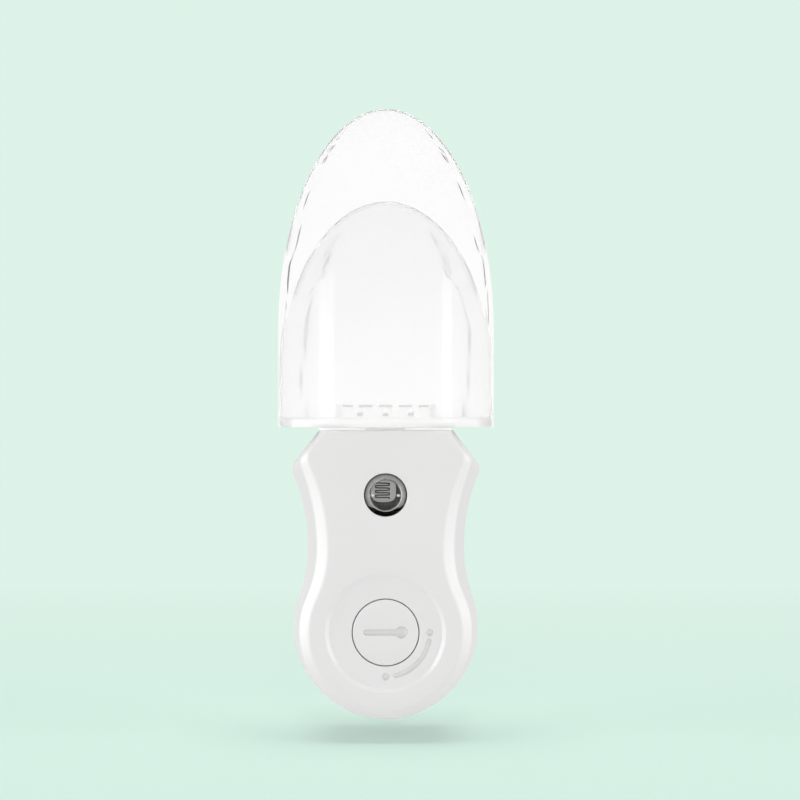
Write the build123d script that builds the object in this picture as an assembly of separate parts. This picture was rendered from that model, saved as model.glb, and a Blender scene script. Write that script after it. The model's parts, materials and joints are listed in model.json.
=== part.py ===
"""Plug-in night light: a waisted two-part housing with a swivel plug at the back, a light sensor and
a turning indicator at the front, and a clear bullet-shaped shade over three small lamps.

X runs to the right, Y towards the wall and Z up.  The origin is on the plug's axis, on the wall face.
A depth is a distance in front of the wall, so it runs along -Y.
"""
import math
import os
from collections import namedtuple

from build123d import *

os.makedirs("parts", exist_ok=True)

# Housing outline at the parting plane, half widths and heights from the plug's axis
body_depth = 24.0
parting_depth = 13.0
body_top_z = 33.6
top_half_width = 11.4
ear_half_width = 16.45
ear_z = 27.2
ear_round = 1.6
waist_half_width = 13.35
waist_z = 13.9
belly_radius = 15.7
wall = 1.8

# How far the outline moves in towards the bevel, the front face and the back
bevel_width = 1.4
top_draft = 0.6
ear_draft = 1.7
ear_rise = 1.5
waist_draft = 1.85
belly_draft = 1.2
top_bevel = 0.7
ear_bevel = 1.2
ear_bevel_rise = 0.65
waist_bevel = 1.9
belly_bevel = 1.7
back_inset = 1.0
back_bevel = 0.7
lip_height = 1.4

# Clearances
fit = 0.05
running_gap = 0.2
axial_gap = 0.2
assembly_gap = 0.5

# Swivel plug
blade_pitch = 12.7
blade_width = 6.35
blade_thickness = 1.5
blade_length = 17.0
blade_hole_radius = 1.6
blade_hole_reach = 11.8
blade_tip_chamfer = 0.45
contact_width = 2.4
contact_thickness = 1.2
barrel_wall = 0.45
turntable_step = 1.8
flange_lip = 1.6
flange_thickness = 2.0
turntable_recess = 0.2
turntable_chamfer = 0.25
spindle_radius = 3.4
spindle_flat = 0.8
swivel_angle = 90.0
stop_angle = -45.0
stop_width_angle = 12.0
stop_play_angle = 1.0

# Contact ring that the plug turns in
track_thickness = 0.5
track_width = 4.0
track_overrun_angle = 8.0
carrier_wall = 2.4
carrier_length = 4.8
carrier_rim_thickness = 1.2
rim_post_width = 3.0
rim_post_angle = 45.0
rim_post_count = 4
tab_width = 2.0
tab_length = 1.1

# Indicator and its scale
cap_radius = 5.45
cap_collar_width = 0.9
cap_collar_thickness = 1.2
cap_face_thickness = 1.2
cap_chamfer = 0.2
panel_radius = 9.9
panel_depth = 0.5
panel_round = 0.4
mark_radius = 7.37
dot_radius = 0.58
groove_width = 0.8
groove_start_angle = 11.0
mark_depth = 0.45
pointer_tail = 3.7
pointer_head = 2.65
pointer_width = 1.0
pointer_eye_radius = 1.0
pointer_depth = 0.65

# Light sensor
sensor_z = 22.9
sensor_radius = 3.5
sensor_gap = 0.1
sensor_flat_half = 3.05
sensor_thickness = 2.1
sensor_recess = 0.5
sensor_dome_radius = 2.6
sensor_dome_height = 0.35
sensor_tube_wall = 1.1
sensor_tube_length = 1.6
sensor_lead_pitch = 3.4

# Circuit board and the parts on it
board_thickness = 1.6
board_shoulder_z = 21.3
board_corner = 1.2
board_side_gap = 2.9
lead_radius = 0.3
lead_stub = 0.8
film_width = 11.5
film_height = 5.0
film_depth = 7.0
film_z = 23.6
film_lead_pitch = 7.5
film_corner = 0.6
can_radius = 3.15
can_headroom = 2.5
can_x = -5.2
can_z = 17.2
can_lead_pitch = 2.5
can_groove = 0.35
diode_radius = 0.95
diode_length = 3.8
diode_lead_pitch = 6.0
diode_x = 4.6
diode_low_z = 15.6
diode_pitch = 2.0
diode_count = 4
resistor_radius = 0.9
resistor_length = 5.6
resistor_lead_pitch = 8.0
series_resistor_z = 24.5
bleed_resistor_z = 26.9
transistor_width = 2.9
transistor_height = 1.3
transistor_thickness = 1.1
transistor_leg = 0.5
transistor_x = -0.45
transistor_z = 19.0

# Screws
screw_x = 9.4
screw_z = 26.3
screw_radius = 1.15
screw_length = 14.0
screw_head_radius = 2.1
screw_head_height = 1.6
screw_head_recess = 0.9
screw_head_chamfer = 0.4
screw_slot_width = 0.6
screw_slot_depth = 0.8
boss_wall = 1.3

# Shade and its foot
shade_gap = 0.5
shade_set = 0.8
shade_half_width = 18.4
shade_half_depth = 14.85
window_half_width = 19.3
window_half_depth = 12.2
shade_spring_z = 50.7
shade_rise = 37.7
shade_wall = 1.6
shade_nose = 16.0
hollow_rise = 28.0
foot_thickness = 1.6
plinth_width = 15.2
plinth_depth = 11.0
plinth_height = 2.3
plinth_corner = 0.9
tray_wall = 1.0
tray_floor = 0.4
spigot_width = 13.0
spigot_depth = 8.0
spigot_wall = 1.8
spigot_corner = 1.0
lock_lip = 1.2
lock_thickness = 1.4
vent_width = 0.9
vent_height = 0.5
vent_pitch = 4.1
vent_count = 3

# Lamps
lamp_board_thickness = 0.9
lamp_width = 2.8
lamp_depth = 3.5
lamp_height = 0.8
lamp_window_radius = 1.05
lamp_window_depth = 0.15
lamp_pitch = 4.0
lamp_count = 3
wire_radius = 0.45
wire_bend = 0.6
lamp_wire_x = 2.5

# Depths of the stack, counted from the wall
inner_front = body_depth - wall
panel_face = body_depth - panel_depth
flange_near = wall + axial_gap
flange_far = flange_near + flange_thickness
carrier_near = flange_far + assembly_gap
carrier_far = carrier_near + carrier_length
track_near = carrier_near + (carrier_length - track_width) / 2
contact_near = track_near + (track_width - contact_thickness) / 2
rim_near = carrier_near + (carrier_length - carrier_rim_thickness) / 2
board_back = carrier_far + tab_length + axial_gap
board_front = board_back + board_thickness
shade_axis = board_front + shade_set
barrel_far = board_front
collar_far = inner_front - axial_gap
collar_near = collar_far - cap_collar_thickness
socket_far = panel_face - cap_face_thickness
can_height = inner_front - board_front - can_headroom
lead_end = board_back - lead_stub

# Radii about the plug's axis
blade_x = blade_pitch / 2
blade_reach = math.hypot(blade_x + blade_thickness / 2, blade_width / 2)
barrel_radius = blade_reach + barrel_wall
contact_radius = barrel_radius + running_gap
track_outer = contact_radius + fit + track_thickness
carrier_inner = track_outer + fit
turntable_radius = barrel_radius + turntable_step
turntable_hole = turntable_radius + running_gap
flange_radius = turntable_radius + flange_lip
post_inner = flange_radius + running_gap
rim_radius = belly_radius - back_inset - wall - running_gap

# Heights of the shade's foot and of the board
shade_foot_z = body_top_z + shade_gap
foot_top_z = shade_foot_z + foot_thickness
plinth_top_z = foot_top_z + plinth_height
tray_floor_z = foot_top_z + tray_floor
hollow_spring_z = shade_spring_z + shade_rise - shade_nose - hollow_rise
lock_top_z = body_top_z - wall - axial_gap
lock_bottom_z = lock_top_z - lock_thickness
board_top_z = lock_bottom_z - assembly_gap
board_bottom_z = rim_radius + assembly_gap
board_half_width = screw_x + screw_radius + boss_wall
board_neck_half = waist_half_width - wall - board_side_gap
lamp_wire_z = board_top_z - wire_radius - lead_radius
supply_entry_x = board_neck_half - 2 * wire_radius
supply_entry_z = board_bottom_z + wire_radius + lead_radius

Level = namedtuple("Level", "top ear ear_z waist belly")
side = Level(top_half_width, ear_half_width, ear_z, waist_half_width, belly_radius)
bevel = Level(
    side.top - top_draft, side.ear - ear_draft, side.ear_z + ear_rise, side.waist - waist_draft,
    side.belly - belly_draft,
)
face = Level(
    bevel.top - top_bevel, bevel.ear - ear_bevel, bevel.ear_z + ear_bevel_rise,
    bevel.waist - waist_bevel, bevel.belly - belly_bevel,
)
back = Level(
    side.top - back_inset, side.ear - back_inset, side.ear_z, side.waist - back_inset,
    side.belly - back_inset,
)
heel = Level(
    back.top - back_bevel, back.ear - back_bevel, back.ear_z, back.waist - back_bevel,
    back.belly - back_bevel,
)


def slab(sketch, near, far):
    """Solid of an outline drawn in X and Z, between two depths."""
    return extrude(Plane.XZ.offset(near) * sketch, far - near)


def upright(sketch, low, high):
    """Solid of a plan drawn about the shade's axis, between two heights."""
    return extrude(Plane.XY.offset(low) * Pos(0, -shade_axis) * sketch, high - low)


def ring_sector(inner, outer, start, sweep):
    """Part of a flat ring about the plug's axis, angles in degrees from +X."""
    outside = CenterArc((0, 0), outer, start, sweep)
    inside = CenterArc((0, 0), inner, start, sweep)
    return make_face(
        [outside, Line(outside @ 1, inside @ 1), inside, Line(inside @ 0, outside @ 0)]
    )


def on_circle(center, radius, angle):
    return (center[0] + radius * math.cos(angle), center[1] + radius * math.sin(angle))


def waisted(level, inset=0):
    """Hourglass outline: flat top, sloping shoulders, two arcs into the waist and a round belly."""
    top_z = body_top_z - inset
    ear = level.ear - inset
    waist = level.waist - inset
    belly = level.belly - inset
    rise = level.ear_z - waist_z
    flare = ear - waist
    upper = (flare**2 + rise**2) / (2 * flare)
    lower = (waist**2 + waist_z**2 - belly**2) / (2 * (belly - waist))
    upper_center = (waist + upper, waist_z)
    lower_center = (waist + lower, waist_z)
    ear_turn = math.asin(rise / upper)
    belly_turn = math.atan2(waist_z, waist + lower)
    meeting = on_circle((0, 0), belly, belly_turn)
    below = on_circle((0, 0), belly, (belly_turn - math.pi / 2) / 2)
    upper_middle = on_circle(upper_center, upper, math.pi - ear_turn / 2)
    lower_middle = on_circle(lower_center, lower, math.pi + belly_turn / 2)
    half = [
        Line((0, top_z), (level.top - inset, top_z)),
        Line((level.top - inset, top_z), (ear, level.ear_z)),
        ThreePointArc((ear, level.ear_z), upper_middle, (waist, waist_z)),
        ThreePointArc((waist, waist_z), lower_middle, meeting),
        ThreePointArc(meeting, below, (0, -belly)),
    ]
    outline = make_face(half + [mirror(edge, about=Plane.YZ) for edge in half])
    ears = outline.vertices().group_by(Axis.Y)[-2]
    return fillet(ears, ear_round)


def stack(levels, depths, inset=0):
    """Straight-sided skin through outlines laid at their depths."""
    return loft(
        [Plane.XZ.offset(depth) * waisted(level, inset) for level, depth in zip(levels, depths)],
        ruled=True,
    )


def spots(x, z, radius):
    """Two round spots, the same distance to each side of the axis."""
    return Sketch() + [Pos(end * x, z) * Circle(radius) for end in (-1, 1)]


def lip(inset):
    """Thin rim along the parting line, on the inner half of the wall."""
    return waisted(side, inset) - waisted(side, wall)


def spigot_plan(grow=0):
    return RectangleRounded(spigot_width + 2 * grow, spigot_depth + 2 * grow, spigot_corner)


def round_edges(solid, radius):
    """Circular edges of one radius, ordered from the front to the wall."""
    circles = solid.edges().filter_by(GeomType.CIRCLE)
    return circles.filter_by(lambda edge: abs(edge.radius - radius) < fit).sort_by(Axis.Y)


def screw_post(near, far, bore):
    post = spots(screw_x, screw_z, screw_radius + boss_wall) - spots(screw_x, screw_z, bore)
    return slab(post, near, far)


def scale_marks():
    """Two dots a quarter turn apart with an arc between them."""
    turned = Rot(0, 0, -swivel_angle)
    dot = Pos(mark_radius, 0) * Circle(dot_radius)
    sweep = swivel_angle - 2 * groove_start_angle
    arc = CenterArc((0, 0), mark_radius, -groove_start_angle - sweep, sweep)
    return Sketch() + [dot, turned * dot, SlotArc(arc, groove_width)]


def front_cover():
    """Front shell with the bevelled face, the indicator panel and the sensor's hole."""
    bevel_depth = body_depth - bevel_width
    outer = stack([side, bevel, face], [parting_depth, bevel_depth, body_depth])
    inner = stack([side, bevel, face], [parting_depth, bevel_depth - wall, inner_front], wall)
    tube = slab(
        Pos(0, sensor_z) * Circle(sensor_radius + sensor_gap + sensor_tube_wall),
        inner_front - sensor_tube_length,
        inner_front,
    )
    shell = outer - inner + tube + (screw_post(board_front, inner_front, screw_radius + fit) & outer)
    shell -= slab(lip(wall / 2 - fit), parting_depth, parting_depth + lip_height + axial_gap)
    shell -= slab(Circle(panel_radius), panel_face, body_depth)
    shell = fillet(round_edges(shell, panel_radius)[0], panel_round)
    shell -= slab(Circle(cap_radius + running_gap), inner_front, body_depth)
    shell -= slab(scale_marks(), panel_face - mark_depth, body_depth)
    sensor_hole = Pos(0, sensor_z) * Circle(sensor_radius + sensor_gap)
    shell -= slab(sensor_hole, inner_front - sensor_tube_length, body_depth)
    return shell - upright(spigot_plan(running_gap), body_top_z - 2 * wall, body_top_z)


def rear_cover():
    """Back shell that lies on the wall, with the plug's round opening and the screw wells."""
    outer = stack([side, back, heel], [parting_depth, back_bevel, 0])
    inner = stack([side, back], [parting_depth, wall], wall)
    well_seat = screw_head_recess + screw_head_height
    well_radius = screw_head_radius + running_gap
    seat = slab(spots(screw_x, screw_z, well_radius + boss_wall), 0, well_seat + wall)
    posts = screw_post(0, board_back, screw_radius + running_gap)
    rim_post = Pos(post_inner + wall, 0) * Rectangle(2 * wall, rim_post_width)
    rim_posts = Sketch() + [
        Rot(0, 0, rim_post_angle + place * 360 / rim_post_count) * rim_post
        for place in range(rim_post_count)
    ]
    stop = ring_sector(
        turntable_hole + running_gap, flange_radius, stop_angle - stop_width_angle / 2, stop_width_angle
    )
    shell = outer - inner + ((seat + posts + slab(rim_posts, 0, rim_near)) & outer)
    shell += slab(stop, 0, flange_far)
    shell += slab(lip(wall / 2), parting_depth - lip_height, parting_depth + lip_height)
    shell -= slab(spots(screw_x, screw_z, well_radius), 0, well_seat)
    shell -= slab(spots(screw_x, screw_z, screw_radius + running_gap), 0, board_back)
    shell -= slab(Circle(turntable_hole), 0, wall)
    return shell - upright(spigot_plan(running_gap), body_top_z - 2 * wall, body_top_z)


def blade(end, grow=0):
    """Flat blade with its inner contact finger; end is -1 on the left and 1 on the right."""
    section = Pos(end * blade_x, 0) * Rectangle(blade_thickness + 2 * grow, blade_width + 2 * grow)
    tip = -blade_length
    root = contact_near + contact_thickness
    reach = contact_radius + grow
    finger = Pos(end * reach / 2, 0) * Rectangle(reach, contact_width + 2 * grow)
    finger &= Circle(reach)
    finger -= Pos(-end * blade_x, 0) * Rectangle(2 * blade_pitch - blade_thickness, blade_pitch)
    return slab(section, tip, root + grow) + slab(finger, contact_near - grow, root + grow)


def finished_blade(end):
    body = blade(end)
    body = chamfer(body.faces().sort_by(Axis.Y)[-1].edges(), blade_tip_chamfer)
    hole = Plane.YZ.offset(end * blade_x) * Pos(blade_hole_reach, 0) * Circle(blade_hole_radius)
    return body - extrude(hole, blade_thickness, both=True)


def spindle_plan(grow=0):
    """Round shaft with one flat, so that the cap can only go on one way."""
    radius = spindle_radius + grow
    return Circle(radius) - Pos(0, 2 * radius - spindle_flat) * Rectangle(2 * radius, 2 * radius)


def plug_turntable():
    """Insulating hub that holds the blades, turns in the back shell and drives the indicator."""
    notch_start = stop_angle - stop_width_angle / 2 - stop_play_angle
    notch_sweep = swivel_angle + stop_width_angle + 2 * stop_play_angle
    flange = Circle(flange_radius) - ring_sector(
        turntable_hole, 2 * flange_radius, notch_start, notch_sweep
    )
    hub = slab(Circle(turntable_radius), turntable_recess, flange_far)
    hub = chamfer(round_edges(hub, turntable_radius)[-1], turntable_chamfer)
    hub += slab(flange, flange_near, flange_far)
    hub += slab(Circle(barrel_radius), flange_far, barrel_far)
    hub += slab(spindle_plan(), barrel_far, socket_far - fit)
    return hub - blade(-1, fit) - blade(1, fit)


def indicator_cap():
    """Flush disc on the end of the spindle, with a pointer groove."""
    cap = slab(Circle(cap_radius), collar_far, panel_face)
    cap = chamfer(round_edges(cap, cap_radius)[0], cap_chamfer)
    cap += slab(Circle(cap_radius + running_gap + cap_collar_width), collar_near, collar_far)
    cap -= slab(spindle_plan(fit), collar_near, socket_far)
    pointer = Pos((pointer_head - pointer_tail) / 2, 0) * SlotOverall(
        pointer_head + pointer_tail, pointer_width
    )
    pointer += Pos(pointer_head, 0) * Circle(pointer_eye_radius)
    return cap - slab(pointer, panel_face - pointer_depth, panel_face)


def contact_track(start):
    """Sprung brass arc that one blade slides along, with a solder tab at its end."""
    sweep = swivel_angle + 2 * track_overrun_angle
    inner = contact_radius + fit
    arc = slab(ring_sector(inner, track_outer, start, sweep), track_near, track_near + track_width)
    tab_angle = math.degrees(tab_width / track_outer)
    end = start + sweep - tab_angle
    tab = ring_sector(inner, track_outer, end, tab_angle)
    return arc + slab(tab, track_near, carrier_far + tab_length)


def contact_carrier():
    """Insulating ring around the tracks, resting on the four posts of the back shell."""
    ring = slab(Circle(carrier_inner + carrier_wall), carrier_near, carrier_far)
    ring += slab(Circle(rim_radius), rim_near, rim_near + carrier_rim_thickness)
    return ring - slab(Circle(carrier_inner), carrier_near, carrier_far)


def lead_holes():
    """Where the leads and wires pass through the board."""
    holes = [spots(sensor_lead_pitch / 2, sensor_z, lead_radius + fit)]
    holes.append(spots(film_lead_pitch / 2, film_z, lead_radius + fit))
    holes.append(Pos(can_x, can_z) * spots(can_lead_pitch / 2, 0, lead_radius + fit))
    for row in range(diode_count):
        height = diode_low_z + row * diode_pitch
        holes.append(Pos(diode_x, height) * spots(diode_lead_pitch / 2, 0, lead_radius + fit))
    for height in (series_resistor_z, bleed_resistor_z):
        holes.append(spots(resistor_lead_pitch / 2, height, lead_radius + fit))
    holes.append(spots(lamp_wire_x, lamp_wire_z, wire_radius + fit))
    holes.append(spots(supply_entry_x, supply_entry_z, wire_radius + fit))
    return Sketch() + holes


def circuit_board():
    """Bottle-shaped board clamped between the screw posts of both shells."""
    upper_height = board_top_z - board_shoulder_z
    lower_height = board_shoulder_z - board_bottom_z + board_corner
    upper = Pos(0, board_top_z - upper_height / 2) * Rectangle(2 * board_half_width, upper_height)
    lower = Pos(0, board_bottom_z + lower_height / 2) * Rectangle(2 * board_neck_half, lower_height)
    outline = upper + lower
    outline = fillet(outline.vertices(), board_corner)
    outline -= spots(screw_x, screw_z, screw_radius + running_gap)
    return slab(outline - lead_holes(), board_back, board_front)


def photocell():
    """Sensor disc with two flats and a domed cast, looking out of the front, on two long leads."""
    disc = Circle(sensor_radius) & Rectangle(2 * sensor_radius, 2 * sensor_flat_half)
    front = body_depth - sensor_recess
    rear = front - sensor_thickness
    cell = slab(Pos(0, sensor_z) * disc, rear, front)
    crown = (sensor_dome_radius**2 + sensor_dome_height**2) / (2 * sensor_dome_height)
    ball = Pos(0, crown - front - sensor_dome_height, sensor_z) * Sphere(crown)
    cast = slab(Pos(0, sensor_z) * Circle(sensor_dome_radius), front, front + sensor_dome_height)
    leads = slab(spots(sensor_lead_pitch / 2, sensor_z, lead_radius), lead_end, rear)
    return cell + (cast & ball) + leads


def film_capacitor():
    """Box-shaped capacitor behind the board that drops the mains voltage."""
    front = lead_end - axial_gap
    box = slab(Pos(0, film_z) * Rectangle(film_width, film_height), front - film_depth, front)
    box = fillet(box.edges().filter_by(Axis.Y), film_corner)
    leads = spots(film_lead_pitch / 2, film_z, lead_radius)
    return box + slab(leads, front, board_front + lead_stub)


def smoothing_capacitor():
    """Round can standing on the board, with a crimped groove near its foot."""
    place = Pos(can_x, can_z)
    can = slab(place * Circle(can_radius), board_front, board_front + can_height)
    groove_near = board_front + 2 * can_groove
    groove = Circle(can_radius) - Circle(can_radius - can_groove)
    can -= slab(place * groove, groove_near, groove_near + can_groove)
    return can + slab(place * spots(can_lead_pitch / 2, 0, lead_radius), lead_end, board_front)


def axial_part(radius, length, lead_pitch, x, z):
    """Round body lying across the board, with both leads bent down through it."""
    axis_depth = board_front + radius
    middle = Plane.YZ.offset(x) * Pos(-axis_depth, z)
    body = extrude(middle * Circle(radius), length / 2, both=True)
    span = extrude(middle * Circle(lead_radius), lead_pitch / 2 + lead_radius, both=True)
    legs = slab(Pos(x, z) * spots(lead_pitch / 2, 0, lead_radius), lead_end, axis_depth)
    return body + span + legs


def resistor(z):
    return axial_part(resistor_radius, resistor_length, resistor_lead_pitch, 0, z)


def diode(row):
    z = diode_low_z + row * diode_pitch
    return axial_part(diode_radius, diode_length, diode_lead_pitch, diode_x, z)


def switching_transistor():
    """Small flat-pack switch with three legs, soldered to the face of the board."""
    block = slab(
        Pos(transistor_x, transistor_z) * Rectangle(transistor_width, transistor_height),
        board_front,
        board_front + transistor_thickness,
    )
    leg = Rectangle(transistor_leg, transistor_leg + transistor_height / 2)
    reach = transistor_height / 2
    spread = transistor_width / 2 - transistor_leg
    legs = Sketch() + [Pos(-spread, -reach) * leg, Pos(spread, -reach) * leg, Pos(0, reach) * leg]
    legs = Pos(transistor_x, transistor_z) * legs
    return block + slab(legs, board_front, board_front + transistor_thickness / 4)


def wire(points):
    """Insulated wire along a bent route."""
    route = FilletPolyline(*points, radius=wire_bend)
    return sweep(Plane(route @ 0, z_dir=route % 0) * Circle(wire_radius), path=route)


def supply_wire(end):
    """Wire from a track's tab up to the board and through it."""
    depth = carrier_far + tab_length / 2
    tab_x = end * (track_outer + wire_radius + running_gap)
    entry_x = end * supply_entry_x
    return wire(
        [
            (tab_x, -depth, 0),
            (entry_x, -depth, supply_entry_z),
            (entry_x, -board_front - lead_stub, supply_entry_z),
        ]
    )


def lamp_wire(end):
    """Wire from the board up through the foot to the lamp board."""
    x = end * lamp_wire_x
    rise_depth = board_front + 2 * wire_bend
    return wire(
        [
            (x, lead_stub - board_back, lamp_wire_z),
            (x, -rise_depth, lamp_wire_z),
            (x, -rise_depth, tray_floor_z),
        ]
    )


def housing_screw(end):
    """Pan-head screw from the back, through the board into the front shell."""
    place = Pos(end * screw_x, screw_z)
    seat = screw_head_recess + screw_head_height
    screw = slab(place * Circle(screw_head_radius), screw_head_recess, seat)
    screw = chamfer(round_edges(screw, screw_head_radius)[-1], screw_head_chamfer)
    screw += slab(place * Circle(screw_radius), seat, seat + screw_length)
    arm = Rectangle(2 * screw_radius + screw_slot_width, screw_slot_width)
    cross = place * (arm + Rot(0, 0, 90) * arm)
    return screw - slab(cross, screw_head_recess, screw_head_recess + screw_slot_depth)


def shade_plan(inset):
    """Oval plan of the shade, cut flatter at the front and back."""
    oval = Ellipse(shade_half_width - inset, shade_half_depth - inset)
    return oval & Ellipse(window_half_width - inset, window_half_depth - inset)


def bullet(inset, spring_z, rise):
    """Straight skirt under a tall half ellipse, with flatter windows at the front and back."""
    half_width = shade_half_width - inset
    half_depth = shade_half_depth - inset
    profile = make_face(
        [
            Line((0, shade_foot_z), (half_width, shade_foot_z)),
            Line((half_width, shade_foot_z), (half_width, spring_z)),
            EllipticalCenterArc((0, spring_z), half_width, rise, start_angle=0, arc_size=90),
            Line((0, spring_z + rise), (0, shade_foot_z)),
        ]
    )
    turned = revolve(Plane.XZ * profile, Axis.Z)
    oval = Pos(0, -shade_axis) * scale(turned, by=(1, half_depth / half_width, 1))
    window = Ellipse(window_half_width - inset, window_half_depth - inset)
    return oval & upright(window, shade_foot_z, spring_z + rise)


def shade():
    """Clear moulded shade, open below, with thin sides and a solid nose above the lamps' arch."""
    return bullet(0, shade_spring_z, shade_rise) - bullet(shade_wall, hollow_spring_z, hollow_rise)


def shade_foot():
    """White foot that closes the shade, holds the lamps in a tray and locks into the housing's top."""
    foot = upright(shade_plan(shade_wall + fit), shade_foot_z, foot_top_z)
    plinth = RectangleRounded(plinth_width, plinth_depth, plinth_corner)
    foot += upright(plinth, foot_top_z, plinth_top_z)
    foot += upright(spigot_plan(), lock_bottom_z, shade_foot_z)
    foot += upright(spigot_plan(lock_lip), lock_bottom_z, lock_top_z)
    foot += upright(spigot_plan(lock_lip), body_top_z, shade_foot_z)
    foot -= upright(spigot_plan(-spigot_wall), lock_bottom_z, plinth_top_z)
    tray = Rectangle(plinth_width - 2 * tray_wall, plinth_depth - 2 * tray_wall)
    foot -= upright(tray, tray_floor_z, plinth_top_z)
    vent_start = -vent_pitch * (vent_count - 1) / 2
    vents = Sketch() + [
        Pos(vent_start + place * vent_pitch, foot_top_z + vent_height) * Rectangle(vent_width, vent_height)
        for place in range(vent_count)
    ]
    front = shade_axis + plinth_depth / 2
    return foot - slab(vents, front - tray_wall / 2, front)


def lamp_board():
    """Small board that lies in the foot's tray."""
    width = plinth_width - 2 * (tray_wall + fit)
    depth = plinth_depth - 2 * (tray_wall + fit)
    return upright(Rectangle(width, depth), tray_floor_z, tray_floor_z + lamp_board_thickness)


def lamp(place):
    """Flat square lamp on the lamp board, with a round window sunk in its top."""
    x = (place - (lamp_count - 1) / 2) * lamp_pitch
    low = tray_floor_z + lamp_board_thickness
    high = low + lamp_height
    chip = upright(Pos(x, 0) * Rectangle(lamp_width, lamp_depth), low, high)
    chip = chamfer(chip.faces().sort_by(Axis.Z)[-1].edges(), lamp_height / 4)
    return chip - upright(Pos(x, 0) * Circle(lamp_window_radius), high - lamp_window_depth, high)


pieces = {
    "front_cover": front_cover(),
    "rear_cover": rear_cover(),
    "housing_screw_left": housing_screw(-1),
    "housing_screw_right": housing_screw(1),
    "plug_turntable": plug_turntable(),
    "indicator_cap": indicator_cap(),
    "live_blade": finished_blade(1),
    "neutral_blade": finished_blade(-1),
    "live_contact_track": contact_track(-swivel_angle - track_overrun_angle),
    "neutral_contact_track": contact_track(swivel_angle - track_overrun_angle),
    "contact_carrier": contact_carrier(),
    "circuit_board": circuit_board(),
    "photocell": photocell(),
    "film_capacitor": film_capacitor(),
    "smoothing_capacitor": smoothing_capacitor(),
    "series_resistor": resistor(series_resistor_z),
    "bleed_resistor": resistor(bleed_resistor_z),
    "switching_transistor": switching_transistor(),
    "live_supply_wire": supply_wire(1),
    "neutral_supply_wire": supply_wire(-1),
    "lamp_board": lamp_board(),
    "lamp_wire_left": lamp_wire(-1),
    "lamp_wire_right": lamp_wire(1),
    "shade": shade(),
    "shade_foot": shade_foot(),
}
for row in range(diode_count):
    pieces[f"rectifier_diode_{row + 1}"] = diode(row)
for place in range(lamp_count):
    pieces[f"lamp_{place + 1}"] = lamp(place)

for name, piece in pieces.items():
    export_step(piece, f"parts/{name}.step")
    print(name, len(piece.solids()), round(piece.volume, 2), piece.is_valid)
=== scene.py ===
import json
import math

import bmesh
import bpy
import numpy as np
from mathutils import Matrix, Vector

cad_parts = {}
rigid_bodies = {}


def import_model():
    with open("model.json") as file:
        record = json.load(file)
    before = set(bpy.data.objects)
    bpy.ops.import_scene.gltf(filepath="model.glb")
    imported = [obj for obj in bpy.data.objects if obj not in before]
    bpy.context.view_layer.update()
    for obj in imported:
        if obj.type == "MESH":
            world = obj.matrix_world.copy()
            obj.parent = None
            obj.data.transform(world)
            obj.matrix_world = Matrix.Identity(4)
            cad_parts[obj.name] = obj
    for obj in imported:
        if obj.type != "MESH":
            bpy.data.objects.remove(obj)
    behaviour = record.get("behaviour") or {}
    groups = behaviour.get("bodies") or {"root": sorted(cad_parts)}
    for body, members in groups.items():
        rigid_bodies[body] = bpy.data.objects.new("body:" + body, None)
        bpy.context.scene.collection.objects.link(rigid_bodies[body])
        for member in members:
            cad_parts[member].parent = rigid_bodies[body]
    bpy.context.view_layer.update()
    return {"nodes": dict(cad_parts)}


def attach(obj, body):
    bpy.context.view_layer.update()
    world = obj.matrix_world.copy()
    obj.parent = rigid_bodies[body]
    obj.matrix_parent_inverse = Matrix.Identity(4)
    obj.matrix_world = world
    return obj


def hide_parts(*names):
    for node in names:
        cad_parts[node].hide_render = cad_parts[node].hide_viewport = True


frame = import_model()
mm = 0.001


# Front cover: a white ABS moulding with an hourglass outline, drafted sides and a wide bevel.
# A round panel is sunk into its face, with a hole for the indicator and a scale of two dots and an
# arc, and the light sensor looks out of a second hole above it.
def math_step(operation, swapped=False):
    """A method for Value that adds a Math node; swapped puts the other value first."""

    def method(self, other):
        first, second = (other, self) if swapped else (self, other)
        return self.tree.node("ShaderNodeMath", {"operation": operation}, {0: first, 1: second})

    return method


class Value:
    """One output in a node tree; arithmetic on it adds Math nodes to that tree."""

    def __init__(self, tree, socket):
        self.tree = tree
        self.socket = socket

    def apply(self, operation):
        return self.tree.node("ShaderNodeMath", {"operation": operation}, {0: self})

    __add__ = math_step("ADD")
    __radd__ = math_step("ADD", swapped=True)
    __sub__ = math_step("SUBTRACT")
    __rsub__ = math_step("SUBTRACT", swapped=True)
    __mul__ = math_step("MULTIPLY")
    __rmul__ = math_step("MULTIPLY", swapped=True)
    __truediv__ = math_step("DIVIDE")
    __rtruediv__ = math_step("DIVIDE", swapped=True)
    __pow__ = math_step("POWER")
    __gt__ = math_step("GREATER_THAN")
    least = math_step("MINIMUM")
    most = math_step("MAXIMUM")


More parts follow.
